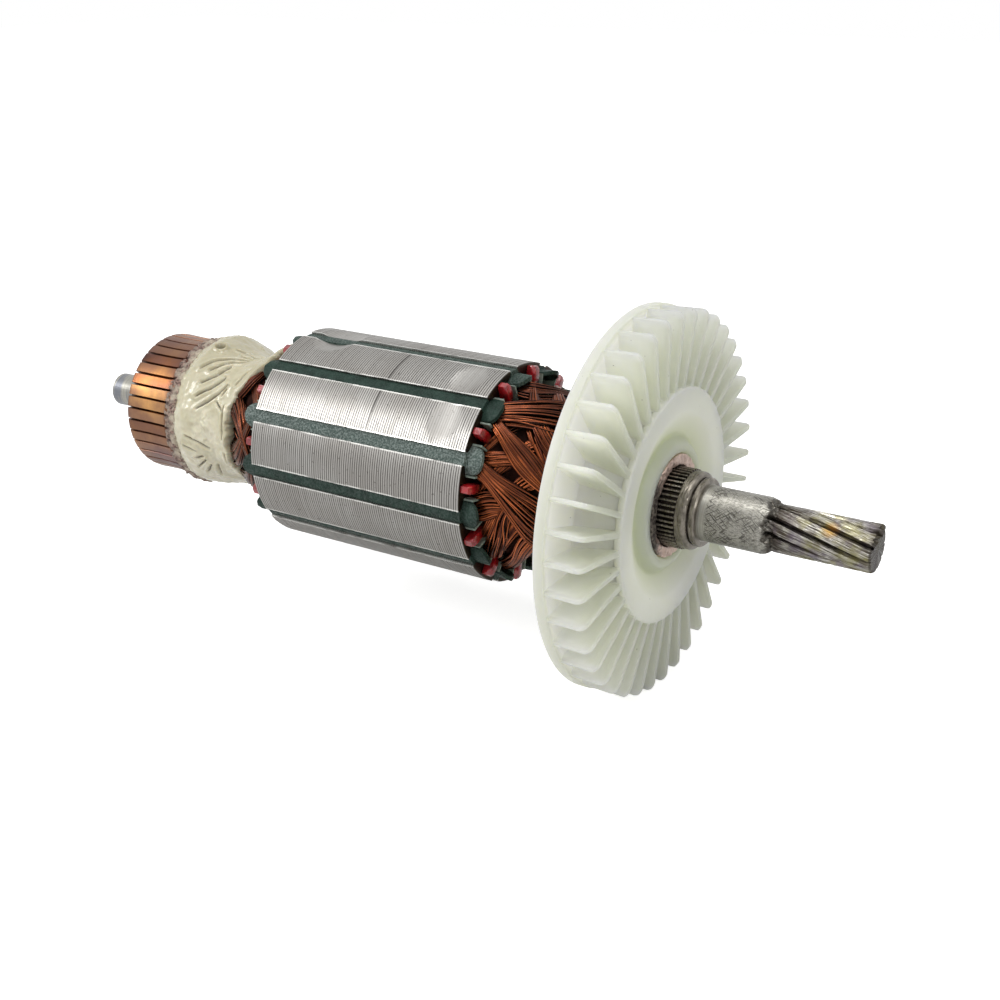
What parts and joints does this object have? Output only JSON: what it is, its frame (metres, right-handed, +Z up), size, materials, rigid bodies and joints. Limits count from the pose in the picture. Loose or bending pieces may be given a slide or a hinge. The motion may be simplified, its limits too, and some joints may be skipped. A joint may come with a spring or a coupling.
{
  "type": "motor armature",
  "caption": "Wound rotor of a universal motor: slotted steel core with coils, copper commutator, plastic blower fan and shaft with a helical pinion.",
  "frame": {"origin": "on the shaft axis, in the middle of the drive end bearing journal", "axes": "+X along the shaft from the commutator to the pinion, +Z up, +Y to complete the right hand"},
  "size_m": [0.1742, 0.0702, 0.0702],
  "materials": {
    "shaft_steel": "ground, with scratches",
    "sleeve_plastic": "matte",
    "lamination_steel": "turned, with fine sheet lines",
    "insulator_fibre": "satin red fibre",
    "hub_moulding": "matte dark moulding",
    "bar_copper": "worn copper",
    "mica": "matte",
    "lead_resin": "glossy, wrinkled resin",
    "fan_nylon": "milky satin nylon",
    "insert_metal": "dull",
    "sleeve_steel": "dark oiled steel",
    "liner_sheet": "matte sheet",
    "closure_fibre": "grainy satin sheet",
    "enamelled_wire": "glossy enamel on copper wire"
  },
  "bodies": {
    "root": {"shaft": "shaft_steel", "shaft_insulation": "sleeve_plastic", "lamination_stack": "lamination_steel", "end_insulator_fan_side": "insulator_fibre", "end_insulator_lead_side": "insulator_fibre", "commutator_hub": "hub_moulding", "commutator_bars": "bar_copper", "commutator_mica": "mica", "lead_cone": "lead_resin", "fan": "fan_nylon", "fan_insert": "insert_metal", "knurled_sleeve": "sleeve_steel", "slot_liner_01": "liner_sheet", "slot_liner_02": "liner_sheet", "slot_liner_03": "liner_sheet", "slot_liner_04": "liner_sheet", "slot_liner_05": "liner_sheet", "slot_liner_06": "liner_sheet", "slot_liner_07": "liner_sheet", "slot_liner_08": "liner_sheet", "slot_liner_09": "liner_sheet", "slot_liner_10": "liner_sheet", "slot_liner_11": "liner_sheet", "slot_liner_12": "liner_sheet", "slot_closure_01": "closure_fibre", "slot_closure_02": "closure_fibre", "slot_closure_03": "closure_fibre", "slot_closure_04": "closure_fibre", "slot_closure_05": "closure_fibre", "slot_closure_06": "closure_fibre", "slot_closure_07": "closure_fibre", "slot_closure_08": "closure_fibre", "slot_closure_09": "closure_fibre", "slot_closure_10": "closure_fibre", "slot_closure_11": "closure_fibre", "slot_closure_12": "closure_fibre", "coil_01": "enamelled_wire", "coil_02": "enamelled_wire", "coil_03": "enamelled_wire", "coil_04": "enamelled_wire", "coil_05": "enamelled_wire", "coil_06": "enamelled_wire", "coil_07": "enamelled_wire", "coil_08": "enamelled_wire", "coil_09": "enamelled_wire", "coil_10": "enamelled_wire", "coil_11": "enamelled_wire", "coil_12": "enamelled_wire"}
  },
  "joints": []
}
